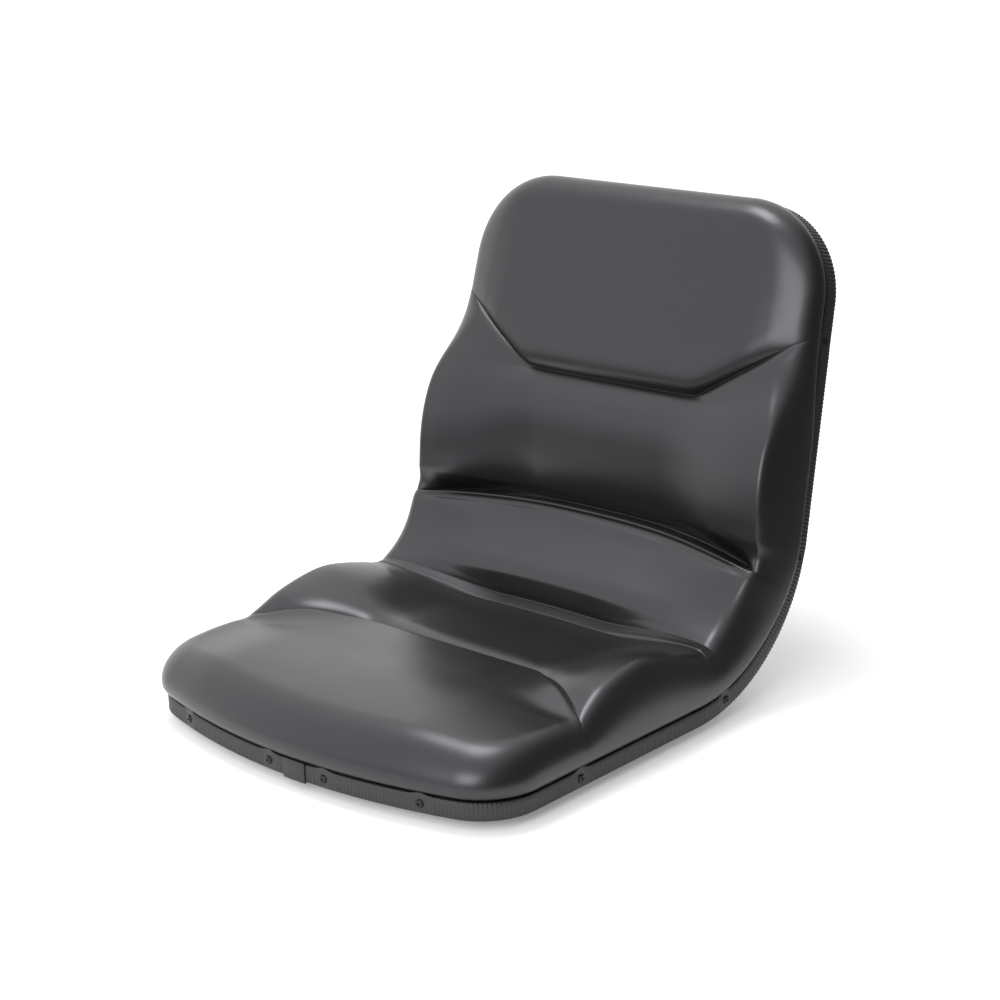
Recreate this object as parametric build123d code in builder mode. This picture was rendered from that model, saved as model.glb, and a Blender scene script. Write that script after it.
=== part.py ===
"""Bucket seat for a garden machine: a pressed steel pan, a moulded vinyl-skinned foam cushion,
a ribbed edge strip riveted round the rim, and four weld nuts on the mounting pad. Millimetres.

Frame: origin at the middle of the bolt pattern on the mounting pad's underside, +Z up,
+Y towards the backrest, so the sitter faces -Y. The seat is the same left and right.
"""

import os
from math import asin, cos, pi, radians, sin, sqrt

from build123d import *

# Pan: outline, side profile and sheet
half_width = 240.0
front_bow = 44.0            # how far the front edge bows forward over the half width
front_corner = 61.0
base_length = 334.0         # front edge to the start of the bend
bend_radius = 190.0         # outer face of the sheet
recline = 14.7              # backrest, degrees behind vertical
back_length = 341.0         # end of the bend to the top edge
back_taper = 2.6            # degrees, each side
top_corner = 95.0
sheet = 2.0
rim_height = 18.0

# Mounting pad pressed down out of the base, with its bolt holes
pad_width = 344.0
pad_length = 262.0
pad_depth = 10.0
pad_corner = 30.0
pad_slope = 30.0            # degrees of draft on the pad's walls
bolt_pattern_width = 286.0
bolt_pattern_length = 203.0
bolt_hole_radius = 4.5
front_to_bolts = 176.0      # front edge to the middle of the bolt pattern
drain_radius = 5.0
drain_from_bolts = 62.0

# Weld nuts inside the pad
nut_across_flats = 13.0
nut_height = 6.5
nut_bore_radius = 4.2
bolt_room_width = 24.0      # pocket in the foam over each nut
bolt_room_height = 26.0

# Edge strip, as high as the rim, its joint clip and its rivets
strip_thickness = 2.4
strip_fit = 0.1             # strip to rim
joint_gap = 3.0
joint_across = 15.0         # the strip's two ends meet this far to one side of the middle
clip_length = 29.0
clip_wall = 1.2
clip_room = 0.3             # pocket in the foam round the clip
rivet_head_radius = 4.4
rivet_head_height = 1.6
rivet_head_sides = 16
rivet_shank_radius = 2.2
rivet_hole_radius = 2.3
rivet_flutes = 8
rivets_beside_joint = 37.0
rivets_front = 161.0        # from the middle of the front edge
rivets_side = (153.0, 383.0, 570.0, 795.0)   # along the side, from the front edge
rivets_top = 110.0          # from the middle of the top edge

# Cushion
edge_bulge = 8.0            # how far the skin stands outside the rim
shoulder_radius = 31.0
side_break = 0.45           # share of the side's height where the shoulder starts
cap_inset = 1.0             # first and last section, in from the outline's two ends
end_round = 52.0            # length over which the cushion rounds down to its two ends
end_least = 0.12            # share of the height left at the ends
end_shares = (0.0, 0.14, 0.33, 0.6)     # sections inside each end's rounding

# Cushion height over the pan. Each row: share along the base, the bend or the back,
# height at the middle, height at the bolsters
base_panels = (
    (0.16, 70.0, 68.0),     # front roll
    (0.33, 73.0, 70.0),     # thigh panel
    (0.48, 70.0, 70.5),
    (0.62, 65.0, 82.0),
    (0.76, 58.0, 94.0),     # seat dish between its bolsters
    (0.89, 55.0, 95.0),
)
bend_panels = (
    (0.03, 54.0, 79.0),
    (0.20, 54.0, 69.0),     # lower edge of the hip roll
    (0.43, 57.5, 76.0),
    (0.69, 60.0, 86.0),     # crown of the hip roll
    (0.87, 54.0, 84.0),
)
back_panels = (
    (0.01, 53.5, 91.0),     # foot of the lumbar panel
    (0.15, 62.5, 101.0),     # lumbar panel between its bolsters
    (0.30, 63.0, 96.0),
    (0.45, 63.5, 66.0),     # head panel
    (0.63, 63.5, 46.0),
    (0.84, 60.0, 38.0),
)

# Seam grooves between the panels: rounded lips that run down to a sharp floor
groove_lip_radius = 24.0
groove_steep = 68.0         # degrees, at the floor
groove_shallow = 40.0       # degrees, where the lip ends
groove_reach = 70.0         # how far the cutter runs on past each lip
groove_end = 255.0          # across, past the side of the cushion

# Where each groove runs: its share along the base, bend or back and the height of its floor,
# at the middle and at its ends; a groove with a corner turns there, the others bow
thigh_groove_share = 0.69
thigh_groove_floor = 55.0
thigh_groove_corner = 136.0
thigh_groove_end_share = 0.47
thigh_groove_end_floor = 78.0
hip_groove_share = 0.27
hip_groove_floor = 48.0
hip_groove_end_share = 0.23
hip_groove_end_floor = 68.0
lumbar_groove_share = 0.99
lumbar_groove_floor = 46.0
lumbar_groove_end_share = 0.90
lumbar_groove_end_floor = 86.0
head_groove_share = 0.385
head_groove_floor = 56.0
head_groove_corner = 117.0
head_groove_end_share = 0.68
head_groove_end_floor = 51.0

# Places worked out from the sizes above
front_y = -front_to_bolts
bend_y = front_y + base_length
base_z = pad_depth                       # underside of the base outside the pad
bend_angle = 90.0 - recline
bend_length = bend_radius * radians(bend_angle)
back_start = base_length + bend_length
pan_length = back_start + back_length
back_foot = Vector(0, bend_y + bend_radius * sin(radians(bend_angle)),
                   base_z + bend_radius * (1 - cos(radians(bend_angle))))
back_up = Vector(0, sin(radians(recline)), cos(radians(recline)))
bow_radius = (half_width**2 + front_bow**2) / (2 * front_bow)
beyond = 120.0                           # how far the cutting prisms run past the seat

# The back's own plane: +Y runs up the back, the normal points at the sitter
back_plane = Plane(back_foot, x_dir=(1, 0, 0), z_dir=(0, -cos(radians(recline)), sin(radians(recline))))


def across_plane(length):
    """Plane across the seat at a length along the pan: +Y of the plane points at the sitter."""
    if length < base_length:
        place, turn = Vector(0, front_y + length, base_z), 0.0
    elif length < back_start:
        turn = (length - base_length) / bend_radius
        place = Vector(0, bend_y + bend_radius * sin(turn), base_z + bend_radius * (1 - cos(turn)))
    else:
        place, turn = back_foot + back_up * (length - back_start), radians(bend_angle)
    return Plane(place, x_dir=(-1, 0, 0), z_dir=(0, cos(turn), sin(turn)))


def on_base(share):
    """Length along the pan at a share of its base."""
    return share * base_length


def on_bend(share):
    """Length along the pan at a share of its bend."""
    return base_length + share * bend_length


def on_back(share):
    """Length along the pan at a share of its back."""
    return back_start + share * back_length


def front_arcs(outset):
    """Centre and radius of the front bow and of a front corner, for an outline grown by outset."""
    bow = bow_radius + outset
    bow_y = front_y + bow_radius
    corner = front_corner + outset
    corner_x = half_width - front_corner
    corner_y = bow_y - sqrt((bow - corner) ** 2 - corner_x**2)
    return bow, bow_y, corner, corner_x, corner_y


def plan_outline(outset):
    """Outline of the base seen from above, open-ended towards the back."""
    bow, bow_y, corner, corner_x, corner_y = front_arcs(outset)
    lean = asin(corner_x / (bow - corner))
    join = (bow * sin(lean), bow_y - bow * cos(lean))
    middle = (corner_x + corner * sin((lean + pi / 2) / 2), corner_y - corner * cos((lean + pi / 2) / 2))
    side, rear = half_width + outset, bend_y + bend_radius + back_length
    with BuildSketch() as outline:
        with BuildLine():
            ThreePointArc((-join[0], join[1]), (0, bow_y - bow), join)
            ThreePointArc(join, middle, (side, corner_y))
            Polyline((side, corner_y), (side, rear), (-side, rear), (-side, corner_y))
            ThreePointArc((-side, corner_y), (-middle[0], middle[1]), (-join[0], join[1]))
        make_face()
    return outline.sketch


def back_outline(outset):
    """Outline of the backrest in the back's plane, open-ended downwards."""
    side = half_width + outset
    top = back_length + outset
    narrow = side - top * sin(radians(back_taper))
    with BuildSketch() as outline:
        with BuildLine():
            Polyline((-side, -beyond * 5), (side, -beyond * 5), (side, 0), (narrow, top),
                     (-narrow, top), (-side, 0), close=True)
        make_face()
        corners = outline.vertices().group_by(Axis.Y)[-1]
        fillet(corners, top_corner + outset)
    return outline.sketch


def profile_band(low, high):
    """Side view of the layer that lies from low to high above the pan's outer face."""
    def line(offset):
        radius = bend_radius - offset
        foot = Vector(bend_y, base_z + offset)
        end = Vector(bend_y + radius * sin(radians(bend_angle)),
                     base_z + bend_radius - radius * cos(radians(bend_angle)))
        half = Vector(bend_y + radius * sin(radians(bend_angle / 2)),
                      base_z + bend_radius - radius * cos(radians(bend_angle / 2)))
        top = end + Vector(back_up.Y, back_up.Z) * (back_length + beyond)
        return Vector(front_y - beyond, foot.Y), foot, half, end, top

    start, foot, half, end, top = line(low)
    start2, foot2, half2, end2, top2 = line(high)
    with BuildSketch(Plane.YZ) as band:
        with BuildLine():
            Line(start, foot)
            ThreePointArc(foot, half, end)
            Polyline(end, top, top2, end2)
            ThreePointArc(end2, half2, foot2)
            Polyline(foot2, start2, start)
        make_face()
    return band.sketch


def tray_layer(outset, low, high):
    """The pan's whole outline, grown by outset, as a solid layer from low to high above its outer face."""
    with BuildPart() as layer:
        extrude(profile_band(low, high), amount=half_width + beyond, both=True)
        extrude(plan_outline(outset), amount=bend_radius + 2 * back_length, both=True, mode=Mode.INTERSECT)
        extrude(back_plane * back_outline(outset), amount=bend_radius + base_length + beyond, both=True,
                mode=Mode.INTERSECT)
    return layer.part


def outline_half_width(length, outset=0.0):
    """Half the width, at a length along the pan, of the pan's outline grown by outset."""
    if length < base_length:
        bow, bow_y, corner, corner_x, corner_y = front_arcs(outset)
        lean = asin(corner_x / (bow - corner))
        y = front_y + length
        if y < bow_y - bow * cos(lean):
            return sqrt(bow**2 - (bow_y - y) ** 2)
        if y < corner_y:
            return corner_x + sqrt(corner**2 - (corner_y - y) ** 2)
        return half_width + outset
    up = max(0.0, length - back_start)
    side = half_width + outset - up * sin(radians(back_taper))
    corner = top_corner + outset
    over = max(0.0, up - (back_length - top_corner))
    return side - corner + sqrt(corner**2 - over**2)


def rim_places():
    """Planes on the strip's outer face, looking outwards, one for each rivet."""
    reach = strip_fit + strip_thickness
    middle = rim_height / 2
    places = []
    bow, bow_y, _, _, _ = front_arcs(reach)
    front = (joint_across - rivets_beside_joint, joint_across + rivets_beside_joint,
             -rivets_front, rivets_front)
    for x in front:
        lean = asin(x / bow)
        out = Vector(sin(lean), -cos(lean), 0)
        places.append(Plane(Vector(bow * sin(lean), bow_y - bow * cos(lean), base_z + middle),
                            x_dir=(cos(lean), sin(lean), 0), z_dir=out))
    for length in rivets_side:
        across = across_plane(length)
        seat_side = across.origin + across.y_dir * middle
        lean = radians(back_taper) if length > back_start else 0.0
        for hand in (-1, 1):
            out = Vector(hand * cos(lean), 0, 0) + back_up * sin(lean)
            x = hand * outline_half_width(length, reach)
            places.append(Plane(seat_side + Vector(x, 0, 0), x_dir=across.y_dir, z_dir=out))
    across = across_plane(pan_length)
    for x in (-rivets_top, rivets_top):
        place = across.origin + across.y_dir * middle + back_up * reach + Vector(x, 0, 0)
        places.append(Plane(place, x_dir=(1, 0, 0), z_dir=back_up))
    return places


rivet_planes = rim_places()
through_rim = strip_thickness + strip_fit + sheet
with BuildPart() as rivet_punch:
    with BuildSketch():
        RegularPolygon(rivet_hole_radius, rivet_flutes)
    extrude(amount=2 * through_rim, both=True)
rivet_holes = [place.location * rivet_punch.part for place in rivet_planes]

# Seat pan: a tray pressed from one sheet, rim turned up, pad pressed down with its bolt holes
with BuildPart() as seat_pan:
    add(tray_layer(0, 0, rim_height))
    add(tray_layer(-sheet, sheet, rim_height + beyond), mode=Mode.SUBTRACT)
    with BuildSketch(Plane.XY.offset(base_z)) as pad_foot:
        RectangleRounded(pad_width, pad_length, pad_corner)
    extrude(amount=-pad_depth, taper=pad_slope)
    with BuildSketch(Plane.XY.offset(base_z + sheet)) as pad_inside:
        RectangleRounded(pad_width - 2 * sheet, pad_length - 2 * sheet, pad_corner - sheet)
    extrude(amount=-pad_depth, taper=pad_slope, mode=Mode.SUBTRACT)
    with GridLocations(bolt_pattern_width, bolt_pattern_length, 2, 2):
        Cylinder(bolt_hole_radius, 2 * sheet, mode=Mode.SUBTRACT)
    with Locations((0, -drain_from_bolts, 0), (0, drain_from_bolts, 0)):
        Cylinder(drain_radius, 2 * sheet, mode=Mode.SUBTRACT)
    add(rivet_holes, mode=Mode.SUBTRACT)

# Weld nuts, one over each bolt hole
with BuildPart() as weld_nuts:
    with BuildSketch(Plane.XY.offset(sheet)) as nut_shape:
        with GridLocations(bolt_pattern_width, bolt_pattern_length, 2, 2):
            RegularPolygon(nut_across_flats / 2, 6, major_radius=False)
            Circle(nut_bore_radius, mode=Mode.SUBTRACT)
    extrude(amount=nut_height)

# Edge strip: one band round the rim, cut where its two ends meet
with BuildPart() as edge_strip:
    add(tray_layer(strip_fit + strip_thickness, 0, rim_height))
    add(tray_layer(strip_fit, -beyond, rim_height + beyond), mode=Mode.SUBTRACT)
    with Locations((joint_across, front_y, base_z + rim_height / 2)):
        Box(joint_gap, front_bow, 2 * rim_height, mode=Mode.SUBTRACT)
    add(rivet_holes, mode=Mode.SUBTRACT)

# Joint clip: a sleeve folded over both ends of the strip
joint_lean = asin(joint_across / (bow_radius + strip_fit))
joint_plane = Plane(
    Vector((bow_radius + strip_fit) * sin(joint_lean),
           front_y + bow_radius - (bow_radius + strip_fit) * cos(joint_lean), base_z + rim_height / 2),
    x_dir=(cos(joint_lean), sin(joint_lean), 0), z_dir=(sin(joint_lean), -cos(joint_lean), 0))
with BuildPart() as joint_clip:
    with BuildSketch(joint_plane.offset(strip_thickness + strip_fit)) as clip_front:
        Rectangle(clip_length, rim_height + 2 * (strip_fit + clip_wall))
    extrude(amount=clip_wall)
    with BuildSketch(joint_plane.offset(strip_thickness + strip_fit)) as clip_lips:
        with GridLocations(0, rim_height + clip_wall + 2 * strip_fit, 1, 2):
            Rectangle(clip_length, clip_wall)
    extrude(amount=-strip_thickness)

# Rivets: round head outside, fluted shank through strip and rim
with BuildPart() as rivet:
    with BuildSketch() as head_shape:
        RegularPolygon(rivet_head_radius, rivet_head_sides)
    extrude(amount=rivet_head_height)
    with BuildSketch() as shank_shape:
        RegularPolygon(rivet_shank_radius, rivet_flutes)
    extrude(amount=-strip_thickness - sheet)
with BuildPart() as rim_rivets:
    for place in rivet_planes:
        add(place.location * rivet.part)


def end_rounding(x, length):
    """Share of the full height left near the front edge, which bows, and near the top edge."""
    if length < base_length:
        from_end = length - (bow_radius - sqrt(bow_radius**2 - x**2))
    else:
        from_end = pan_length - length
    share = min(1.0, max(0.0, from_end + edge_bulge) / end_round)
    return max(end_least, sqrt(1 - (1 - share) ** 2))


def cushion_section(length, middle, bolster):
    """One section across the cushion: a flat foot, bulged sides, round shoulders and a dished middle."""
    foot = rim_height
    wide = outline_half_width(length, edge_bulge)
    shoulder = foot + (bolster - foot) * side_break
    radius = min(shoulder_radius, wide / 2)
    ridge = wide - radius
    turn = radians(45)
    shape = ((wide, shoulder), (ridge + radius * cos(turn), shoulder + (bolster - shoulder) * sin(turn)),
             (ridge, bolster), (0, middle))
    low, bend, high, mid = [(x, foot + (height - foot) * end_rounding(x, length)) for x, height in shape]
    under = (wide - edge_bulge / 2, foot - edge_bulge)
    with BuildSketch(across_plane(length)) as section:
        with BuildLine():
            Line(under, low)
            ThreePointArc(low, bend, high)
            ThreePointArc(high, mid, (-high[0], high[1]))
            ThreePointArc((-high[0], high[1]), (-bend[0], bend[1]), (-low[0], low[1]))
            Polyline((-low[0], low[1]), (-under[0], under[1]), under)
        make_face()
    return section.sketch


def cushion_stations():
    """Length along the pan, middle height and bolster height of every section, front to top."""
    tip = cap_inset - edge_bulge
    ends = [tip + share * end_round for share in end_shares]
    first, last = base_panels[0], back_panels[-1]
    front = [(length, first[1], first[2]) for length in ends]
    panels = [(on_base(share), middle, bolster) for share, middle, bolster in base_panels]
    panels += [(on_bend(share), middle, bolster) for share, middle, bolster in bend_panels]
    panels += [(on_back(share), middle, bolster) for share, middle, bolster in back_panels]
    top = [(pan_length - length, last[1], last[2]) for length in reversed(ends)]
    return [*front, *panels, *top]


def over_pan(x, length, height):
    """Point at a place across, a length along the pan and a height over it."""
    across = across_plane(length)
    return across.origin + across.y_dir * height + Vector(x, 0, 0)


def seam_groove(corner, at, floor, end_at, end_floor):
    """Cutter for one seam groove; its path turns at the corners, or bows when the corner is 0."""
    ends = [over_pan(hand * groove_end, end_at, end_floor) for hand in (-1, 1)]
    with BuildPart() as groove:
        with BuildLine() as path:
            if corner:
                turns = [over_pan(hand * corner, at, floor) for hand in (-1, 1)]
                Polyline(ends[0], *turns, ends[1])
            else:
                ThreePointArc(ends[0], over_pan(0, at, floor), ends[1])
        start = path.line @ 0
        along = path.line % 0
        toward_sitter = across_plane(at).y_dir
        with BuildSketch(Plane(start, x_dir=along.cross(toward_sitter), z_dir=along)):
            with BuildLine():
                steep, shallow = radians(groove_steep), radians(groove_shallow)
                lip = JernArc((0, 0), (-cos(steep), -sin(steep)), groove_lip_radius,
                              groove_shallow - groove_steep)
                rise = Line(lip @ 1, lip @ 1 + Vector(-cos(shallow), -sin(shallow)) * groove_reach)
                over = Line(rise @ 1, (0, (rise @ 1).Y))
                Line(over @ 1, (0, 0))
            make_face()
            mirror(about=Plane.YZ)
        sweep(transition=Transition.RIGHT)
    return groove.part


# Cushion: lofted over the panel stations, seams cut in, then seated in the pan
with BuildPart() as cushion:
    sections = [cushion_section(*station) for station in cushion_stations()]
    loft(sections, ruled=True)
    add(seam_groove(thigh_groove_corner, on_base(thigh_groove_share), thigh_groove_floor,
                    on_base(thigh_groove_end_share), thigh_groove_end_floor), mode=Mode.SUBTRACT)
    add(seam_groove(0, on_bend(hip_groove_share), hip_groove_floor,
                    on_bend(hip_groove_end_share), hip_groove_end_floor), mode=Mode.SUBTRACT)
    add(seam_groove(0, on_bend(lumbar_groove_share), lumbar_groove_floor,
                    on_bend(lumbar_groove_end_share), lumbar_groove_end_floor), mode=Mode.SUBTRACT)
    add(seam_groove(head_groove_corner, on_back(head_groove_share), head_groove_floor,
                    on_back(head_groove_end_share), head_groove_end_floor), mode=Mode.SUBTRACT)
    add(tray_layer(beyond / 2, -beyond / 2, rim_height), mode=Mode.SUBTRACT)
    add(tray_layer(-sheet, sheet, rim_height))
    with GridLocations(bolt_pattern_width, bolt_pattern_length, 2, 2):
        Box(bolt_room_width, bolt_room_width, 2 * bolt_room_height, mode=Mode.SUBTRACT)
    with Locations(joint_plane.offset(-strip_fit)):
        Box(clip_length + 2 * clip_room, rim_height + 2 * (strip_fit + clip_wall + clip_room), 4 * edge_bulge,
            align=(Align.CENTER, Align.CENTER, Align.MIN), mode=Mode.SUBTRACT)

os.makedirs("parts", exist_ok=True)
seat_pan.part.label = "seat_pan"
export_step(seat_pan.part, "parts/seat_pan.step")
weld_nuts.part.label = "weld_nuts"
export_step(weld_nuts.part, "parts/weld_nuts.step")
edge_strip.part.label = "edge_strip"
export_step(edge_strip.part, "parts/edge_strip.step")
joint_clip.part.label = "joint_clip"
export_step(joint_clip.part, "parts/joint_clip.step")
rim_rivets.part.label = "rim_rivets"
export_step(rim_rivets.part, "parts/rim_rivets.step")
cushion.part.label = "cushion"
export_step(cushion.part, "parts/cushion.step")
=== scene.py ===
# %% [markdown]
# # A bucket seat, from pressed pan to studio picture
#
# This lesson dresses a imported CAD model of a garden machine's bucket seat. The CAD file brings the pan
# and its nuts. Here we sculpt the vinyl cushion as a height field over the pan, rib the strip round the
# rim, fold its joint clip, spin the rivets, mix the materials and light the set.
# Blender works in metres; the drawing's sizes are in millimetres, so they pass through `MM`.

# %% Load the frame
import math

import bmesh
import bpy
from mathutils import Matrix, Vector


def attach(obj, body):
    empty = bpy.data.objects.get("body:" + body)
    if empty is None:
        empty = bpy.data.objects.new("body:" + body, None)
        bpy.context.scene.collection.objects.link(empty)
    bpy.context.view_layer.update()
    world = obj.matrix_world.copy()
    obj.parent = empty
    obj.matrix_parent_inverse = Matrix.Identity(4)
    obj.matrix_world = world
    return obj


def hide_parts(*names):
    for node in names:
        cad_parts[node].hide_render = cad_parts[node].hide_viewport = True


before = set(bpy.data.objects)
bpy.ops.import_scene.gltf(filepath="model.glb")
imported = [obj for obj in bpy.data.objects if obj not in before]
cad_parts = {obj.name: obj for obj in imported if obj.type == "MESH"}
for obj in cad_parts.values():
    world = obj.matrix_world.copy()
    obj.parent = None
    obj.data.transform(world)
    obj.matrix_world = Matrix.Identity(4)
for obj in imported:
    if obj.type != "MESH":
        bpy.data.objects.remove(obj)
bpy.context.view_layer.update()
print("CAD nodes:", sorted(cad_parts))

# %% [markdown]
# ## The drawing
#
# These are the sizes the CAD model was made from. Every piece below is built from them, so the new
# meshes land on the CAD pieces without any fitting by hand.

# %% Sizes
MM = 0.001
HALF_WIDTH = 240.0
FRONT_BOW = 44.0
FRONT_CORNER = 61.0
BASE_LENGTH = 334.0
BEND_RADIUS = 190.0
BACK_LENGTH = 341.0
RECLINE = math.radians(14.7)
BACK_TAPER = math.radians(2.6)
TOP_CORNER = 95.0
RIM_HEIGHT = 18.0
PAD_DEPTH = 10.0
FRONT_Y = -176.0
JOINT_X = 15.0

BEND_ANGLE = math.pi / 2 - RECLINE
BEND_LENGTH = BEND_RADIUS * BEND_ANGLE
BACK_START = BASE_LENGTH + BEND_LENGTH
PAN_LENGTH = BACK_START + BACK_LENGTH
BOW_RADIUS = (HALF_WIDTH**2 + FRONT_BOW**2) / (2 * FRONT_BOW)
print(f"pan is {PAN_LENGTH:.0f} mm long, measured over the bend")

# %% [markdown]
# ## Walking along the pan
#
# The pan is a sheet that runs flat, bends up and leans back. `over_pan` turns a place *on the unrolled
# sheet* (x across, u along) and a height above it into a point in space. With it, the whole seat can be
# drawn flat and then bent, the way the sheet itself was.


# %% Bend the flat sheet
def over_pan(x, u, v):
    """Point at x across, u along the sheet and v above its outer face, in metres."""
    if u < BASE_LENGTH:
        turn = 0.0
        y = FRONT_Y + u
        z = PAD_DEPTH
    elif u < BACK_START:
        turn = (u - BASE_LENGTH) / BEND_RADIUS
        y = FRONT_Y + BASE_LENGTH + BEND_RADIUS * math.sin(turn)
        z = PAD_DEPTH + BEND_RADIUS * (1 - math.cos(turn))
    else:
        turn = BEND_ANGLE
        up = u - BACK_START
        y = FRONT_Y + BASE_LENGTH + BEND_RADIUS * math.sin(turn) + up * math.sin(RECLINE)
        z = PAD_DEPTH + BEND_RADIUS * (1 - math.cos(turn)) + up * math.cos(RECLINE)
    return Vector((x, y - v * math.sin(turn), z + v * math.cos(turn))) * MM


print("top edge of the pan is at", [round(c, 3) for c in over_pan(0, PAN_LENGTH, 0)])

# %% [markdown]
# ## The outline as arcs and lines
#
# Half of the rim is enough, because the seat is the same left and right. `rim_point` walks the outline of
# the unrolled sheet from the middle of the front edge to the middle of the top edge: bow, front corner,
# side, tapered side, top corner, top. It gives the outward direction with each point. `inset` is the
# reverse: how far a place lies inside the outline.

# %% Outline of the unrolled sheet
CORNER_X = HALF_WIDTH - FRONT_CORNER
CORNER_U = BOW_RADIUS - math.sqrt((BOW_RADIUS - FRONT_CORNER) ** 2 - CORNER_X**2)
LEAN = math.asin(CORNER_X / (BOW_RADIUS - FRONT_CORNER))
TOP_U = PAN_LENGTH - TOP_CORNER
TAPER = math.sin(BACK_TAPER)
TOP_SIDE = HALF_WIDTH - (TOP_U - BACK_START) * TAPER
TOP_X = TOP_SIDE - TOP_CORNER
RUNS = [BOW_RADIUS * LEAN, FRONT_CORNER * (math.pi / 2 - LEAN), BACK_START - CORNER_U,
        TOP_U - BACK_START, TOP_CORNER * math.pi / 2, TOP_X]
HALF_RIM = sum(RUNS)


def rim_point(s):
    """Place (x, u) and outward direction, s mm along half the rim from the middle of the front edge."""
    for run, length in enumerate(RUNS):
        if s <= length or run == len(RUNS) - 1:
            break
        s -= length
    if run == 0:
        turn = s / BOW_RADIUS
        out = (math.sin(turn), -math.cos(turn))
        return (BOW_RADIUS * math.sin(turn), BOW_RADIUS * (1 - math.cos(turn))), out
    if run == 1:
        turn = LEAN + s / FRONT_CORNER
        out = (math.sin(turn), -math.cos(turn))
        return (CORNER_X + FRONT_CORNER * out[0], CORNER_U + FRONT_CORNER * out[1]), out
    if run == 2:
        return (HALF_WIDTH, CORNER_U + s), (1.0, 0.0)
    if run == 3:
        return (HALF_WIDTH - s * TAPER, BACK_START + s), (1.0, 0.0)
    if run == 4:
        turn = s / TOP_CORNER
        out = (math.cos(turn), math.sin(turn))
        return (TOP_X + TOP_CORNER * out[0], TOP_U + TOP_CORNER * out[1]), out
    return (TOP_X - s, PAN_LENGTH), (0.0, 1.0)


def inset(x, u):
    """How far a place lies inside the rim's outline (negative outside)."""
    x = abs(x)
    from_bow = BOW_RADIUS - math.hypot(x, BOW_RADIUS - u)
    if u < CORNER_U:
        if math.atan2(x, BOW_RADIUS - u) < LEAN:
            return from_bow
        return FRONT_CORNER - math.hypot(x - CORNER_X, u - CORNER_U)
    if u > TOP_U and x > TOP_X:
        return TOP_CORNER - math.hypot(x - TOP_X, u - TOP_U)
    side = HALF_WIDTH - max(0.0, u - BACK_START) * TAPER - x
    return min(side, PAN_LENGTH - u, from_bow if u < BASE_LENGTH else side)


print(f"half the rim is {HALF_RIM:.0f} mm; front middle is {inset(0, 40):.0f} mm in at u = 40")

# %% [markdown]
# ## The cushion's height field
#
# Seams part the cushion into panels, front to top: thigh pad, seat dish, a narrow ledge, hip roll, lumbar
# panel and head panel. Along its middle each panel follows a few height keys; towards the sides every
# panel blends into the same ridge of bolsters. A seam is a line on the unrolled sheet with a depth, and
# the panels on both sides of it round down to its floor. "Lines plus profiles" keeps a sculpt editable.


# %% Curves for the height field
def smooth(t):
    """Soft step from 0 to 1 while t runs from 0 to 1."""
    t = min(1.0, max(0.0, t))
    return t * t * (3 - 2 * t)


def soft_ramp(t, width):
    """Zero below 0, t above it, rounded over the width."""
    return 0.5 * (t + math.sqrt(t * t + width * width))


def through(keys, u):
    """Smooth curve through (place, value) keys."""
    if u <= keys[0][0]:
        return keys[0][1]
    for i in range(len(keys) - 1):
        u0, a = keys[i]
        u1, b = keys[i + 1]
        if u <= u1:
            before = keys[max(0, i - 1)]
            after = keys[min(len(keys) - 1, i + 2)]
            span = u1 - u0
            t = (u - u0) / span
            slope_a = (b - before[1]) / max(1e-6, u1 - before[0])
            slope_b = (after[1] - a) / max(1e-6, after[0] - u0)
            return ((2 * t**3 - 3 * t**2 + 1) * a + (t**3 - 2 * t**2 + t) * span * slope_a
                    + (3 * t**2 - 2 * t**3) * b + (t**3 - t**2) * span * slope_b)
    return keys[-1][1]


print("a soft ramp rounds its corner:", [round(soft_ramp(t, 8.0), 1) for t in (-20, 0, 20)])

# %% [markdown]
# The five seam lines give a length along the pan for a distance from the middle. Two of them run straight
# and then slant away at a corner; the other three bow.

# %% Seam lines on the unrolled sheet
SLANT = 0.66
CORNER_WIDTH = 8.0


def thigh_line(x):
    return 236.0 - SLANT * soft_ramp(x - 124.0, CORNER_WIDTH)


def dish_line(x):
    return 389.0 - 22.0 * (x / 240.0) ** 2


def ledge_line(x):
    return 410.0 - 25.0 * (x / 240.0) ** 2


def lumbar_line(x):
    return 576.0 - 35.0 * (x / 230.0) ** 2.5


def head_line(x):
    return 717.0 + SLANT * soft_ramp(x - 115.0, CORNER_WIDTH)


print("head seam climbs from", round(head_line(0)), "to", round(head_line(220)), "mm along the pan")

# %% [markdown]
# Each panel below is a pair: where its blend to the bolsters starts, and its height keys (length along
# the pan, height over it). Each seam lists its line, its depth in the middle and at the side, where it
# fades out, and the rounding of its two lips as radius and power. A higher power makes a squarer lip.
# A bead and a hollow run along just under the lumbar seam, where the skin is pulled in.

# %% Panels, bolsters and seams
BOLSTER = ((-10, 59), (40, 65), (100, 66), (140, 64.5), (160, 63.5), (180, 70), (205, 80.5), (240, 88.5),
           (270, 91), (300, 86.5), (340, 76.5), (380, 69), (400, 70), (440, 75), (480, 79), (520, 81),
           (545, 77.5), (562, 77), (590, 83), (620, 89.5), (650, 92), (680, 89), (710, 79), (740, 66),
           (765, 58.5), (790, 56), (840, 54), (930, 52))
RIDGE_X = 218.0
PANELS = (
    (125.0, ((-10, 66), (50, 72.5), (110, 73), (170, 69.5), (236, 65))),
    (95.0, ((160, 64), (236, 62), (262, 60.5), (300, 56.5), (345, 53), (389, 50.5))),
    (60.0, ((389, 47.0), (410, 47.5))),
    (95.0, ((410, 67), (430, 73), (450, 76), (475, 75), (510, 70), (545, 63), (576, 57))),
    (85.0, ((576, 42), (590, 50), (610, 58), (640, 66), (670, 70.5), (690, 68.5), (717, 56))),
    (165.0, ((717, 72), (745, 68.5), (780, 64.5), (830, 60.5), (930, 55))),
)
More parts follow.
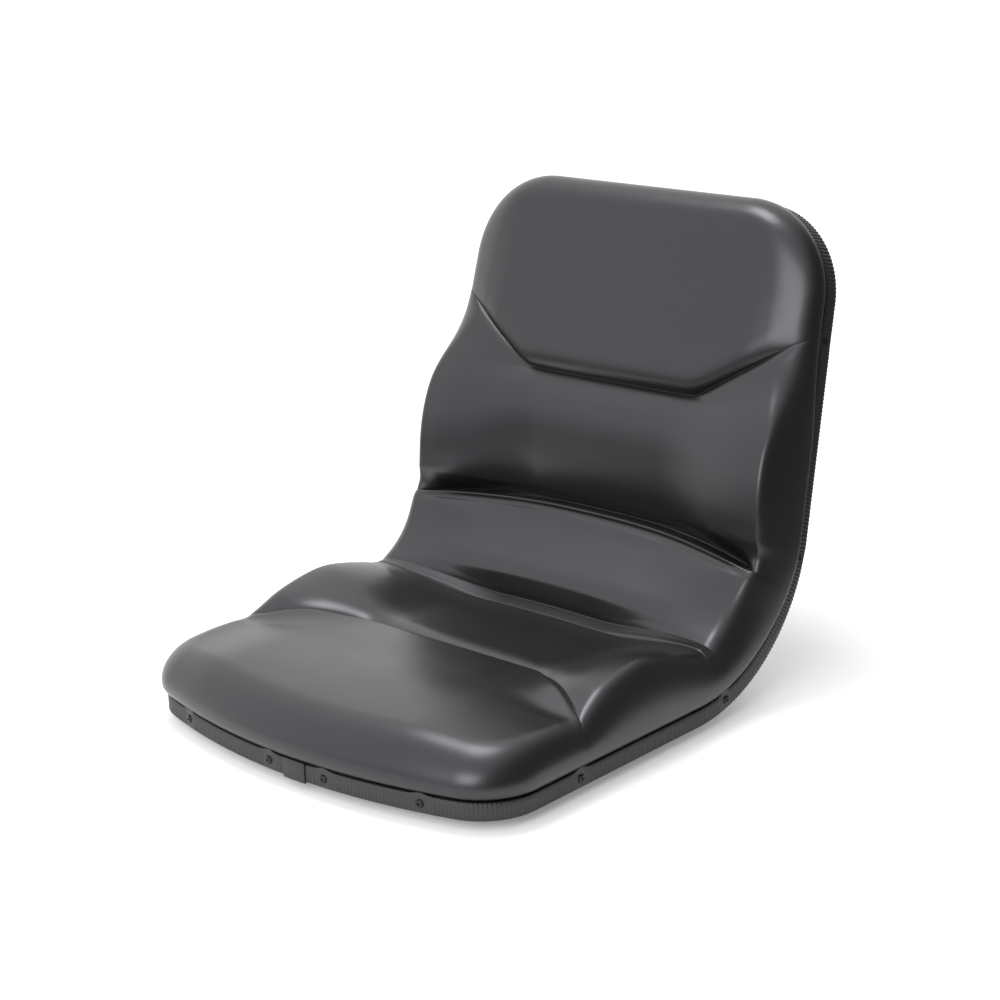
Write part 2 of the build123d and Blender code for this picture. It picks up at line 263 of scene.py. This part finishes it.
SEAMS = (
    (thigh_line, 7.0, 5.0, (205, 236), (10.0, 2.0), (25.0, 1.8)),
    (dish_line, 0.0, 0.0, (190, 230), (6.0, 2.0), (6.0, 2.0)),
    (ledge_line, 0.0, 0.0, (190, 230), (6.0, 2.0), (16.0, 1.3)),
    (lumbar_line, 3.0, 22.0, (208, 240), (6.0, 2.0), (38.0, 1.6)),
    (head_line, 1.5, 5.0, (195, 236), (16.0, 2.0), (28.0, 2.0)),
)
DEPTH_FROM = 90.0           # a seam's depth changes to its side value from here,
DEPTH_OVER = 100.0          # over this distance
SOFT_GAP = 3.0              # panel heights closer than this blend
LUMBAR = 3                  # number of the lumbar seam
BEAD = (2.0, 6.5, 3.4)      # height, distance under the seam, width
HOLLOW = (1.6, 15.5, 5.0)
BEAD_FADE_X = 200.0
BEAD_FADE_OVER = 35.0


def lower(a, b):
    """The lower of two heights, with a soft change from one to the other."""
    return 0.5 * (a + b - math.sqrt((a - b) ** 2 + SOFT_GAP**2))


def rounded(d, radius, power=2.0):
    """Share of full height d mm from an edge that is rounded over the radius."""
    t = 1 - min(1.0, max(0.0, d / radius))
    return (1 - t**power) ** (1 / power)


def ripple(below, height, at, width):
    """A bell-shaped rise that runs along a seam."""
    return height * math.exp(-((below - at) / width) ** 2)


def panel_top(number, x, u):
    """Height of a panel before its seams and the outer edge are rounded."""
    start, keys = PANELS[number]
    middle = through(keys, u)
    return middle + (through(BOLSTER, u) - middle) * smooth((x - start) / (RIDGE_X - start))


def cushion_height(x, u):
    """Height of the vinyl over the pan, before its outer edge is rounded off."""
    x = abs(x)
    places = [seam[0](x) for seam in SEAMS]
    number = sum(u >= place for place in places)
    height = panel_top(number, x, u)
    for seam in (number - 1, number):
        if not 0 <= seam < len(SEAMS):
            continue
        _, middle, side, (full, gone), before, after = SEAMS[seam]
        place = places[seam]
        depth = middle + (side - middle) * smooth((x - DEPTH_FROM) / DEPTH_OVER)
        depth *= 1 - smooth((x - full) / (gone - full))
        floor = lower(panel_top(seam, x, place), panel_top(seam + 1, x, place)) - depth
        lip = panel_top(number, x, place) - floor
        radius, power = before if seam == number else after
        height -= lip * (1 - rounded(abs(u - place), radius, power))
    below = places[LUMBAR] - u
    bead = ripple(below, *BEAD) - ripple(below, *HOLLOW)
    return height + bead * (1 - smooth((x - BEAD_FADE_X) / BEAD_FADE_OVER)) * (below > 0)


print("seat dish middle is", round(cushion_height(0, 330), 1), "mm thick")

# %% [markdown]
# ## The cushion's mesh
#
# `bmesh.ops.create_grid` makes a flat sheet of quads. Each vertex is moved twice: first onto the rounded
# outline, by blending the four edge curves (a Coons patch), then up by the height field and round the
# bend. Whole rows of vertices are laid along the seams, with closer rows beside them, so that the seams
# stay crisp where they slant.

# %% Rows, columns and edge curves
PANEL_ROWS = (96, 76, 24, 84, 72, 88)
ROWS = sum(PANEL_ROWS)
COLUMNS = 190
ROW_PULL = 0.7              # how strongly the rows crowd towards the seams
COLUMN_PULL = 1.35          # power that crowds the columns towards the sides
WIDEST_HEIGHT = 31.0        # of the cushion's widest line, over the pan
EDGE_POWER = 1.9
HALVINGS = 36
FRONT_SPLIT = RUNS[0] + RUNS[1] * 0.5
TOP_SPLIT = HALF_RIM - RUNS[5] - RUNS[4] * 0.5


def bulge(u):
    """How far the widest line stands outside the rim: most at the lumbar panel, least at the head."""
    return 8.0 + 5.0 * smooth((u - 430.0) / 150.0) - 7.0 * smooth((u - 680.0) / 110.0)


def edge_place(s):
    """Place on the widest line, s mm along half the rim."""
    (x, u), out = rim_point(s)
    return Vector((x + out[0] * bulge(u), u + out[1] * bulge(u)))


def shoulder(u):
    """Width of the rounded outer edge: broad on the nose and the head panel, tight at the lumbar panel."""
    nose = 1 - smooth((u - 30.0) / 110.0)
    waist = smooth((u - 430.0) / 130.0)
    head = smooth((u - 690.0) / 110.0)
    top = smooth((u - 840.0) / 70.0)
    return 27.0 + 15.0 * nose - 8.0 * waist + 26.0 * head - 20.0 * top


def rim_of(a, t, row):
    """Length along half the rim of a vertex on the sheet's border."""
    if row == 0:
        return abs(a) * FRONT_SPLIT
    if row == ROWS:
        return HALF_RIM - abs(a) * (HALF_RIM - TOP_SPLIT)
    return FRONT_SPLIT + t * (TOP_SPLIT - FRONT_SPLIT)


def coons(a, t):
    """Place on the unrolled sheet for a in -1..1 across and t in 0..1 along."""
    hand = 1 if a >= 0 else -1
    w = (a + 1) / 2
    front = edge_place(abs(a) * FRONT_SPLIT)
    top = edge_place(HALF_RIM - abs(a) * (HALF_RIM - TOP_SPLIT))
    right = edge_place(FRONT_SPLIT + t * (TOP_SPLIT - FRONT_SPLIT))
    left = Vector((-right.x, right.y))
    front.x *= hand
    top.x *= hand
    front_right = edge_place(FRONT_SPLIT)
    top_right = edge_place(TOP_SPLIT)
    front_left = Vector((-front_right.x, front_right.y))
    top_left = Vector((-top_right.x, top_right.y))
    corners = (front_left * (1 - w) * (1 - t) + front_right * w * (1 - t)
               + top_left * (1 - w) * t + top_right * w * t)
    return front * (1 - t) + top * t + left * (1 - w) + right * w - corners


def spread(a):
    """Crowds the columns towards the rounded sides."""
    return math.copysign(1 - (1 - abs(a)) ** COLUMN_PULL, a)


def seam_share(line, a):
    """Share along the seat at which a seam's line crosses the column at a."""
    low, high = 0.0, 1.0
    for halving in range(HALVINGS):
        t = (low + high) / 2
        place = coons(a, t)
        if place.y < line(abs(place.x)):
            low = t
        else:
            high = t
    return high


def column_shares(a):
    """Share along the seat of every row in one column: one row on each seam, closer rows beside it."""
    stops = [0.0, *(seam_share(seam[0], a) for seam in SEAMS), 1.0]
    shares = [0.0]
    for rows, start, stop in zip(PANEL_ROWS, stops, stops[1:]):
        for row in range(1, rows + 1):
            w = row / rows
            w -= ROW_PULL * math.sin(2 * math.pi * w) / (2 * math.pi)
            shares.append(start + (stop - start) * w)
    return shares


print(ROWS, "rows; the head seam's row starts", round(seam_share(head_line, 0.0), 3), "of the way along")

# %% [markdown]
# The sheet is laid flat and sculpted vertex by vertex. The border's vertices are remembered by their
# positions, with the row and column they came from, for the side wall that follows.

# %% Lay the sheet, then sculpt it
bm = bmesh.new()
bmesh.ops.create_grid(bm, x_segments=COLUMNS, y_segments=ROWS, size=1.0)
column_places = [spread(2 * column / COLUMNS - 1) for column in range(COLUMNS + 1)]
row_shares = [column_shares(a) for a in column_places]
border = {}
for vert in bm.verts:
    column = round((vert.co.x + 1) / 2 * COLUMNS)
    row = round((vert.co.y + 1) / 2 * ROWS)
    a = column_places[column]
    t = row_shares[column][row]
    place = coons(a, t)
    depth = inset(place.x, place.y) + bulge(place.y)
    share = rounded(depth, shoulder(place.y), EDGE_POWER)
    height = WIDEST_HEIGHT + (cushion_height(place.x, place.y) - WIDEST_HEIGHT) * share
    vert.co = over_pan(place.x, place.y, height)
    if column in (0, COLUMNS) or row in (0, ROWS):
        border[vert.co.copy().freeze()] = (column, row, a, t)
print("top of the cushion:", len(bm.faces), "quads")

# %% [markdown]
# The edge of that sheet is the cushion's widest line. Three extrusions carry it down and in, to tuck in
# above the strip: each one extrudes the open edge, then moves the new vertices. An extruded vertex starts
# exactly on the old one, so its position is the key that tells which border vertex it came from. The foot
# is closed by long quads from side to side, which follow the bend, and by one flat face at each end.

# %% Side wall and foot
SIDE_WALL = ((0.95, 26.5), (0.65, 22.6), (-0.1, 20.6))      # share of the bulge, height over the pan
edges = [e for e in bm.edges if e.is_boundary]
for share, height in SIDE_WALL:
    made = bmesh.ops.extrude_edge_only(bm, edges=edges)
    edges = [g for g in made["geom"] if isinstance(g, bmesh.types.BMEdge) and g.is_boundary]
    moved = {}
    foot = {}
    for vert in {v for e in edges for v in e.verts}:
        column, row, a, t = border[vert.co.copy().freeze()]
        (x, u), way = rim_point(rim_of(a, t, row))
        way_x = math.copysign(way[0], a) if x else 0.0
        out = share * bulge(u)
        vert.co = over_pan(math.copysign(x, a) + way_x * out, u + way[1] * out, height)
        moved[vert.co.copy().freeze()] = (column, row, a, t)
        foot[column, row] = vert
    border = moved
for row in range(ROWS):
    bm.faces.new((foot[0, row], foot[0, row + 1], foot[COLUMNS, row + 1], foot[COLUMNS, row]))
bm.faces.new([foot[column, 0] for column in range(COLUMNS + 1)])
bm.faces.new([foot[column, ROWS] for column in range(COLUMNS, -1, -1)])
bmesh.ops.recalc_face_normals(bm, faces=bm.faces)
print("closed cushion:", len(bm.faces), "faces, open edges:", sum(e.is_boundary for e in bm.edges))

# %% [markdown]
# Every new piece becomes an object in the same way: it rides on the seat's only body and takes the place of
# a CAD node.


# %% Make it an object
def finish_piece(name, bm, node):
    """Turns a bmesh into a piece of the seat that stands for a CAD node."""
    mesh = bpy.data.meshes.new(name)
    bm.to_mesh(mesh)
    bm.free()
    mesh.shade_smooth()
    piece = bpy.data.objects.new(name, mesh)
    bpy.context.scene.collection.objects.link(piece)
    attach(piece, "root")
    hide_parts(node)
    print(f"{name}: {len(mesh.polygons)} faces")
    return piece


cushion = finish_piece("vinyl_cushion", bm, "cushion")

# %% [markdown]
# ## The ribbed strip
#
# The strip and its clip are profiles carried round the rim. Walking the whole rim from the joint means
# that the strip starts and ends under the clip.

# %% Walk the whole rim
BESIDE_JOINT = 37.0         # rivets each side of the joint
FRONT_RIVET_X = 161.0
SIDE_RIVETS = (153.0, 383.0, 570.0, 795.0)
TOP_RIVET_X = 110.0


def whole_rim(q):
    """Place and outward direction, q mm along the whole rim, right side first."""
    q = q % (2 * HALF_RIM)
    s, hand = (q, 1) if q <= HALF_RIM else (2 * HALF_RIM - q, -1)
    (x, u), out = rim_point(s)
    return (x * hand, u), (out[0] * hand, out[1])


def rim_at(q, out, v):
    """Point out mm outside the rim and v mm above the pan's outer face."""
    (x, u), way = whole_rim(q)
    return over_pan(x + way[0] * out, u + way[1] * out, v)


def on_bow(x):
    """Length along the front bow to a distance from the middle."""
    return BOW_RADIUS * math.asin(x / BOW_RADIUS)


def rivet_lengths():
    """Where the rivets sit, as lengths along the whole rim."""
    side_start = RUNS[0] + RUNS[1] - CORNER_U
    shared = [side_start + u for u in SIDE_RIVETS] + [HALF_RIM - TOP_RIVET_X]
    right = [on_bow(x) for x in (JOINT_X + BESIDE_JOINT, FRONT_RIVET_X)] + shared
    left = [on_bow(x) for x in (BESIDE_JOINT - JOINT_X, FRONT_RIVET_X)] + shared
    return right + [2 * HALF_RIM - q for q in left]


RIVETS = rivet_lengths()
print(len(RIVETS), "rivets")

# %% [markdown]
# A profile point is a distance out from the rim and a height over the pan. On the strip a third value
# says whether the point is ribbed: those are pushed out and in along the way. Each rivet flattens the
# ribs round it, pulls the strip in a little and lifts its upper edge.

# %% Sweep the strip
RIB_PITCH = 4.2
RIB_STEPS = (0.0, 0.7, 0.7, 0.0)
HALF_GAP = 1.5              # half the gap between the strip's two ends
STRIP_PROFILE = ((0.15, 0.4, 0), (1.7, 0.0, 0), (1.9, 0.7, 1), (1.9, 6.0, 1), (1.9, 12.0, 1), (1.9, 17.2, 1),
                 (1.7, 17.9, 0), (0.15, 17.6, 0))
RIVET_REACH = 8.0           # along the rim
RIB_FLATTENED = 0.8
RIVET_DENT = 0.35
RIVET_LIFT = 2.2
LIFT_FROM = 0.4             # share of the rim's height


def rivet_pull(q):
    """1 at a rivet, fading to 0 along the rim."""
    gaps = [(q - r + HALF_RIM) % (2 * HALF_RIM) - HALF_RIM for r in RIVETS]
    return max(math.exp(-(gap / RIVET_REACH) ** 2) for gap in gaps)


def join_rings(bm, rings):
    """Skins neighbouring rings of vertices with quads and closes both ends."""
    size = len(rings[0])
    for a, b in zip(rings, rings[1:]):
        for j in range(size):
            k = (j + 1) % size
            bm.faces.new((a[j], b[j], b[k], a[k]))
    bm.faces.new(rings[0])
    bm.faces.new(list(reversed(rings[-1])))
    bmesh.ops.recalc_face_normals(bm, faces=bm.faces)


start = JOINT_X + HALF_GAP
stop = 2 * HALF_RIM + JOINT_X - HALF_GAP
count = int((stop - start) / RIB_PITCH) * len(RIB_STEPS)
bm = bmesh.new()
rings = []
for i in range(count + 1):
    q = start + (stop - start) * i / count
    near = rivet_pull(q)
    rib = RIB_STEPS[i % len(RIB_STEPS)]
    ring = []
    for out, v, ribbed in STRIP_PROFILE:
        lift = near * RIVET_LIFT * max(0.0, v / RIM_HEIGHT - LIFT_FROM) / (1 - LIFT_FROM)
        push = out + ribbed * rib * (1 - RIB_FLATTENED * near) - RIVET_DENT * near * ribbed
        ring.append(bm.verts.new(rim_at(q, push, v + lift)))
    rings.append(ring)
join_rings(bm, rings)
strip = finish_piece("ribbed_strip", bm, "edge_strip")
strip.data.set_sharp_from_angle(angle=math.radians(50))

# %% [markdown]
# ## The joint clip
#
# A thin sleeve wraps the strip's two ends. Its profile is a flat C; the first and last rings are drawn
# in a touch so that the ends look folded rather than cut.

# %% Fold the clip
CLIP_PROFILE = ((0.2, -1.4), (3.0, -1.4), (3.7, -1.2), (4.0, -0.6), (4.05, 3.0), (4.05, 15.0), (4.0, 18.6),
                (3.7, 19.2), (3.0, 19.4), (0.2, 19.4), (0.2, 18.2), (2.75, 18.2), (2.75, -0.1), (0.2, -0.1))
CLIP_OUTER = 10             # points of the profile that lie on the sleeve's outside
CLIP_NEAREST = 0.2          # to the rim
CLIP_RINGS = ((-14.5, 0.7), (-14.2, 0.2), (-13.4, 0.0), (-5.0, 0.0), (5.0, 0.0), (13.4, 0.0), (14.2, 0.2),
              (14.5, 0.7))  # distance from the joint, how far the ring is drawn in
bm = bmesh.new()
rings = []
for along, draw in CLIP_RINGS:
    ring = []
    for n, (out, v) in enumerate(CLIP_PROFILE):
        pull = draw if n < CLIP_OUTER else 0.0
        inward = pull * 0.5 if v < RIM_HEIGHT / 2 else -pull * 0.5
        point = rim_at(JOINT_X + along + 2 * HALF_RIM, max(CLIP_NEAREST, out - pull), v + inward)
        ring.append(bm.verts.new(point))
    rings.append(ring)
join_rings(bm, rings)
clip = finish_piece("joint_sleeve", bm, "joint_clip")
clip.data.set_sharp_from_angle(angle=math.radians(40))

# %% [markdown]
# ## Rivets
#
# `bmesh.ops.spin` turns a half-profile about an axis. The profile has a hollow in the middle, because a
# blind rivet keeps the hole its mandrel was pulled through. Each rivet is spun at the origin, then carried
# to the rim by a matrix whose Z column is the direction straight out of the rim.

# %% Spin the rivets
RIVET_PROFILE = ((0.0, 0.25), (1.15, 0.25), (1.3, 1.25), (1.6, 1.6), (2.4, 1.65), (3.4, 1.35), (4.1, 0.8),
                 (4.4, 0.2), (4.4, -0.3))
RIVET_STEPS = 28
RIVET_OUT = 2.0             # foot of the head, outside the rim
RIVET_HEIGHT = RIM_HEIGHT / 2
RIVET_ROOM = 7.0            # all of a rivet at the origin lies within this
WELD = 1e-6
bm = bmesh.new()
for q in RIVETS:
    centre = rim_at(q, RIVET_OUT, RIVET_HEIGHT)
    z_axis = (rim_at(q, RIVET_OUT + 1, RIVET_HEIGHT) - centre).normalized()
    y_axis = (rim_at(q, RIVET_OUT, RIVET_HEIGHT + 1) - centre).normalized()
    x_axis = y_axis.cross(z_axis).normalized()
    axes = Matrix((x_axis, z_axis.cross(x_axis), z_axis)).transposed().to_4x4()
    verts = [bm.verts.new((r * MM, 0, h * MM)) for r, h in RIVET_PROFILE]
    chain = [bm.edges.new(pair) for pair in zip(verts, verts[1:])]
    bmesh.ops.spin(bm, geom=verts + chain, cent=(0, 0, 0), axis=(0, 0, 1), steps=RIVET_STEPS,
                   angle=2 * math.pi, use_merge=True)
    spun = [v for v in bm.verts if v.co.length < RIVET_ROOM * MM]
    bmesh.ops.transform(bm, matrix=Matrix.Translation(centre) @ axes, verts=spun)
bmesh.ops.remove_doubles(bm, verts=bm.verts, dist=WELD)
bmesh.ops.recalc_face_normals(bm, faces=bm.faces)
rivets = finish_piece("hollow_rivets", bm, "rim_rivets")
rivets.data.set_sharp_from_angle(angle=math.radians(60))

# %% [markdown]
# ## Materials
#
# All patterns live in object space, so they stay put when the seat turns. One node group makes a mottled
# grain that all the materials share: it gives out a height for the bump and a value that shifts the colour
# and the roughness. Constants go straight on the shader's own sockets.

# %% A shared grain group
FINE_HEIGHT = 0.6           # of the fine noise, beside the cells
FINE_SCALE = 2.3            # of the fine noise, times the cells' scale
MOTTLE_SCALE = 14.0


def put(tree, kind, inputs=None, **settings):
    """Adds a node to a tree, with its settings and its constant inputs."""
    node = tree.nodes.new(kind)
    for name, value in settings.items():
        setattr(node, name, value)
    for socket, value in (inputs or {}).items():
        node.inputs[socket].default_value = value
    return node


def grain_group():
    """Node group with a scale going in, and a bump height and a broad mottle coming out."""
    group = bpy.data.node_groups.new("grain", "ShaderNodeTree")
    group.interface.new_socket("Scale", in_out="INPUT", socket_type="NodeSocketFloat")
    group.interface.new_socket("Height", in_out="OUTPUT", socket_type="NodeSocketFloat")
    group.interface.new_socket("Mottle", in_out="OUTPUT", socket_type="NodeSocketFloat")
    entry = put(group, "NodeGroupInput")
    leave = put(group, "NodeGroupOutput")
    coords = put(group, "ShaderNodeTexCoord")
    cells = put(group, "ShaderNodeTexVoronoi", feature="SMOOTH_F1")
    fine = put(group, "ShaderNodeTexNoise", {"Detail": 3.0})
    broad = put(group, "ShaderNodeTexNoise", {"Scale": MOTTLE_SCALE, "Detail": 2.0})
    both = put(group, "ShaderNodeMath", {1: FINE_HEIGHT}, operation="MULTIPLY_ADD")
    finer = put(group, "ShaderNodeMath", {1: FINE_SCALE}, operation="MULTIPLY")
    links = group.links
    for texture in (cells, fine, broad):
        links.new(coords.outputs["Object"], texture.inputs["Vector"])
    links.new(entry.outputs["Scale"], cells.inputs["Scale"])
    links.new(entry.outputs["Scale"], finer.inputs[0])
    links.new(finer.outputs[0], fine.inputs["Scale"])
    links.new(fine.outputs["Fac"], both.inputs[0])
    links.new(cells.outputs["Distance"], both.inputs[2])
    links.new(both.outputs[0], leave.inputs["Height"])
    links.new(broad.outputs["Fac"], leave.inputs["Mottle"])
    return group


GRAIN = grain_group()
print("grain group:", len(GRAIN.nodes), "nodes")

# %% [markdown]
# `skin` builds every material of the seat from that group. Each one has its own colour, roughness, grain
# size and bump; the metals add a metallic share, and the vinyl a stronger reflection with a violet cast.

# %% Dress the pieces
GLOSS_DRIFT = 0.06
DARK_SHARE = 0.82
LIGHT_SHARE = 1.18
BUMP_DISTANCE = 0.0003
VIOLET_GREY = (0.985, 0.97, 1.03)


def skin(name, color, roughness, grain, bump, metallic=0.0, specular=0.5, tint=(1, 1, 1)):
    """A material with a fine grain, and colour and gloss that drift slightly over the surface."""
    material = bpy.data.materials.new(name)
    material.use_nodes = True
    tree = material.node_tree
    shader = tree.nodes["Principled BSDF"]
    shader.inputs["Metallic"].default_value = metallic
    shader.inputs["Specular IOR Level"].default_value = specular
    shader.inputs["Specular Tint"].default_value = (*tint, 1)
    pattern = put(tree, "ShaderNodeGroup", node_tree=GRAIN)
    pattern.inputs["Scale"].default_value = grain
    tone = put(tree, "ShaderNodeMapRange",
               {"To Min": roughness - GLOSS_DRIFT, "To Max": roughness + GLOSS_DRIFT})
    dark = (*[c * DARK_SHARE for c in color], 1)
    light = (*[c * LIGHT_SHARE for c in color], 1)
    shade = put(tree, "ShaderNodeMix", {"A": dark, "B": light}, data_type="RGBA")
    relief = put(tree, "ShaderNodeBump", {"Strength": bump, "Distance": BUMP_DISTANCE})
    links = tree.links
    links.new(pattern.outputs["Mottle"], tone.inputs["Value"])
    links.new(tone.outputs["Result"], shader.inputs["Roughness"])
    links.new(pattern.outputs["Mottle"], shade.inputs["Factor"])
    links.new(shade.outputs["Result"], shader.inputs["Base Color"])
    links.new(pattern.outputs["Height"], relief.inputs["Height"])
    links.new(relief.outputs["Normal"], shader.inputs["Normal"])
    return material


def dress(piece, material):
    piece.data.materials.clear()
    piece.data.materials.append(material)
    print(piece.name, "wears", material.name)


vinyl = skin("satin_vinyl", (0.0055, 0.0053, 0.0058), 0.32, 900.0, 0.08, specular=0.7, tint=VIOLET_GREY)
dress(cushion, vinyl)
dress(strip, skin("ribbed_plastic", (0.024, 0.0235, 0.023), 0.42, 1400.0, 0.10))
dress(clip, skin("sleeve_plastic", (0.016, 0.016, 0.017), 0.40, 1800.0, 0.06))
dress(rivets, skin("rivet_black", (0.010, 0.010, 0.0105), 0.32, 2200.0, 0.08, metallic=0.3))
pan_paint = skin("pan_paint", (0.022, 0.022, 0.024), 0.38, 420.0, 0.05)
nut_zinc = skin("nut_zinc", (0.55, 0.55, 0.53), 0.34, 1500.0, 0.08, metallic=1.0)
for node, material in (("seat_pan", pan_paint), ("weld_nuts", nut_zinc)):
    dress(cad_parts[node], material)

# %% [markdown]
# ## The set
#
# Dark satin vinyl shows little colour of its own, so most of what we see is the room in its surface. The
# seat stands on a round of white paper that fades into the room. The paper glows a little, and only where
# it is looked at or mirrored, so that it stays white round the soft shadow.

# %% Floor
PAPER_RADIUS = 0.9
PAPER_SIDES = 96
PAPER_WHITE = 0.92
PAPER_ROUGHNESS = 0.9
PAPER_GLOW = 0.2
FADE_FROM = 0.42
FADE_TO = 0.85


def paper():
    """White paper that fades out towards its edge, so no horizon shows."""
    material = bpy.data.materials.new("white_paper")
    material.use_nodes = True
    tree = material.node_tree
    shader = tree.nodes["Principled BSDF"]
    shader.inputs["Base Color"].default_value = (PAPER_WHITE, PAPER_WHITE, PAPER_WHITE, 1)
    shader.inputs["Roughness"].default_value = PAPER_ROUGHNESS
    shader.inputs["Emission Color"].default_value = (1.0, 1.0, 1.0, 1)
    coords = put(tree, "ShaderNodeTexCoord")
    reach = put(tree, "ShaderNodeVectorMath", operation="LENGTH")
    fade = put(tree, "ShaderNodeMapRange",
               {"From Min": FADE_FROM, "From Max": FADE_TO, "To Min": 1.0, "To Max": 0.0},
               interpolation_type="SMOOTHSTEP")
    seen = put(tree, "ShaderNodeLightPath")
    mirrored = put(tree, "ShaderNodeMath", operation="MAXIMUM")
    shown = put(tree, "ShaderNodeMath", operation="MAXIMUM")
    glow = put(tree, "ShaderNodeMath", {1: PAPER_GLOW}, operation="MULTIPLY")
    links = tree.links
    links.new(seen.outputs["Is Glossy Ray"], mirrored.inputs[0])
    links.new(seen.outputs["Is Transmission Ray"], mirrored.inputs[1])
    links.new(seen.outputs["Is Camera Ray"], shown.inputs[0])
    links.new(mirrored.outputs[0], shown.inputs[1])
    links.new(shown.outputs[0], glow.inputs[0])
    links.new(glow.outputs[0], shader.inputs["Emission Strength"])
    links.new(coords.outputs["Object"], reach.inputs[0])
    links.new(reach.outputs["Value"], fade.inputs["Value"])
    links.new(fade.outputs["Result"], shader.inputs["Alpha"])
    return material


floor_mesh = bpy.data.meshes.new("floor")
bm = bmesh.new()
bmesh.ops.create_circle(bm, cap_ends=True, segments=PAPER_SIDES, radius=PAPER_RADIUS)
bm.to_mesh(floor_mesh)
bm.free()
floor = bpy.data.objects.new("floor", floor_mesh)
bpy.context.scene.collection.objects.link(floor)
floor_mesh.materials.append(paper())
print("floor:", PAPER_SIDES, "sides")

# %% [markdown]
# The room is white on the sitter's right. It darkens towards the sitter's left, where the camera stands,
# and low down in front. The backrest's panels mirror the white side, faces that look down mirror the dark
# low part, and the near side wall mirrors the dark side.

# %% Room
BRIGHT_WAY = (-0.85, -0.33, 0.2)
BRIGHT_RAMP = {"From Min": -0.5, "From Max": 0.2, "To Min": 0.2, "To Max": 1.3}
HIGH_WAY = (0.0, 0.35, 1.0)
HIGH_RAMP = {"From Min": -0.6, "From Max": -0.15, "To Min": 0.1, "To Max": 1.0}
world = bpy.data.worlds.new("white_room")
bpy.context.scene.world = world
world.use_nodes = True
tree = world.node_tree
background = tree.nodes["Background"]
background.inputs["Color"].default_value = (1.0, 1.0, 1.0, 1)
coords = put(tree, "ShaderNodeTexCoord")
strength = put(tree, "ShaderNodeMath", operation="MULTIPLY")
for slot, (way, values) in enumerate(((BRIGHT_WAY, BRIGHT_RAMP), (HIGH_WAY, HIGH_RAMP))):
    facing = put(tree, "ShaderNodeVectorMath", {1: way}, operation="DOT_PRODUCT")
    ramp = put(tree, "ShaderNodeMapRange", values, interpolation_type="SMOOTHSTEP")
    tree.links.new(coords.outputs["Generated"], facing.inputs[0])
    tree.links.new(facing.outputs["Value"], ramp.inputs["Value"])
    tree.links.new(ramp.outputs["Result"], strength.inputs[slot])
tree.links.new(strength.outputs[0], background.inputs["Strength"])
print("room:", len(tree.nodes), "nodes")

# %% [markdown]
# Two soft boxes shape the rest. The one overhead gives the highlights on the nose and the hip roll; the
# one in front gives those on the near shoulders.


# %% Lamps
def lamp(name, place, target, size, watts):
    """A square soft box at a place, aimed at a target."""
    data = bpy.data.lights.new(name, "AREA")
    data.shape = "SQUARE"
    data.size = size
    data.energy = watts
    light = bpy.data.objects.new(name, data)
    bpy.context.scene.collection.objects.link(light)
    light.location = place
    light.rotation_euler = (Vector(target) - Vector(place)).to_track_quat("-Z", "Y").to_euler()


lamp("overhead", place=(-0.22, 0.1, 1.75), target=(0, 0.05, 0.1), size=0.65, watts=11)
lamp("front", place=(0.6, -1.85, 1.05), target=(0, 0.15, 0.3), size=1.0, watts=15)

# %% [markdown]
# ## The camera
#
# The camera was fitted to the photograph with the rim's outline and its rivets. It stands in front of the
# seat, to one side and above it, with a long lens and a slight roll.

# %% Camera
CAMERA_PLACE = (1.5002, -1.4972, 0.8969)
CAMERA_TURN = math.radians(42.51)
CAMERA_LIFT = math.radians(17.27)
CAMERA_ROLL = math.radians(-1.67)
FOCAL_PIXELS = 2250.2
PHOTO_PIXELS = 1000
SENSOR_WIDTH = 36.0
across = Vector((math.cos(CAMERA_TURN), math.sin(CAMERA_TURN), 0))
ahead = -Vector((math.sin(CAMERA_TURN) * math.cos(CAMERA_LIFT),
                 -math.cos(CAMERA_TURN) * math.cos(CAMERA_LIFT), math.sin(CAMERA_LIFT)))
up = across.cross(ahead)
right_way = across * math.cos(CAMERA_ROLL) + up * math.sin(CAMERA_ROLL)
up_way = up * math.cos(CAMERA_ROLL) - across * math.sin(CAMERA_ROLL)
camera_data = bpy.data.cameras.new("camera")
camera_data.sensor_width = SENSOR_WIDTH
camera_data.lens = SENSOR_WIDTH * FOCAL_PIXELS / PHOTO_PIXELS
camera = bpy.data.objects.new("camera", camera_data)
bpy.context.scene.collection.objects.link(camera)
camera_axes = Matrix((right_way, up_way, -ahead)).transposed().to_4x4()
camera.matrix_world = Matrix.Translation(CAMERA_PLACE) @ camera_axes
bpy.context.scene.camera = camera
bpy.context.scene.view_settings.view_transform = "Standard"
print(f"lens {camera_data.lens:.1f} mm at {tuple(round(c, 2) for c in camera.location)}")
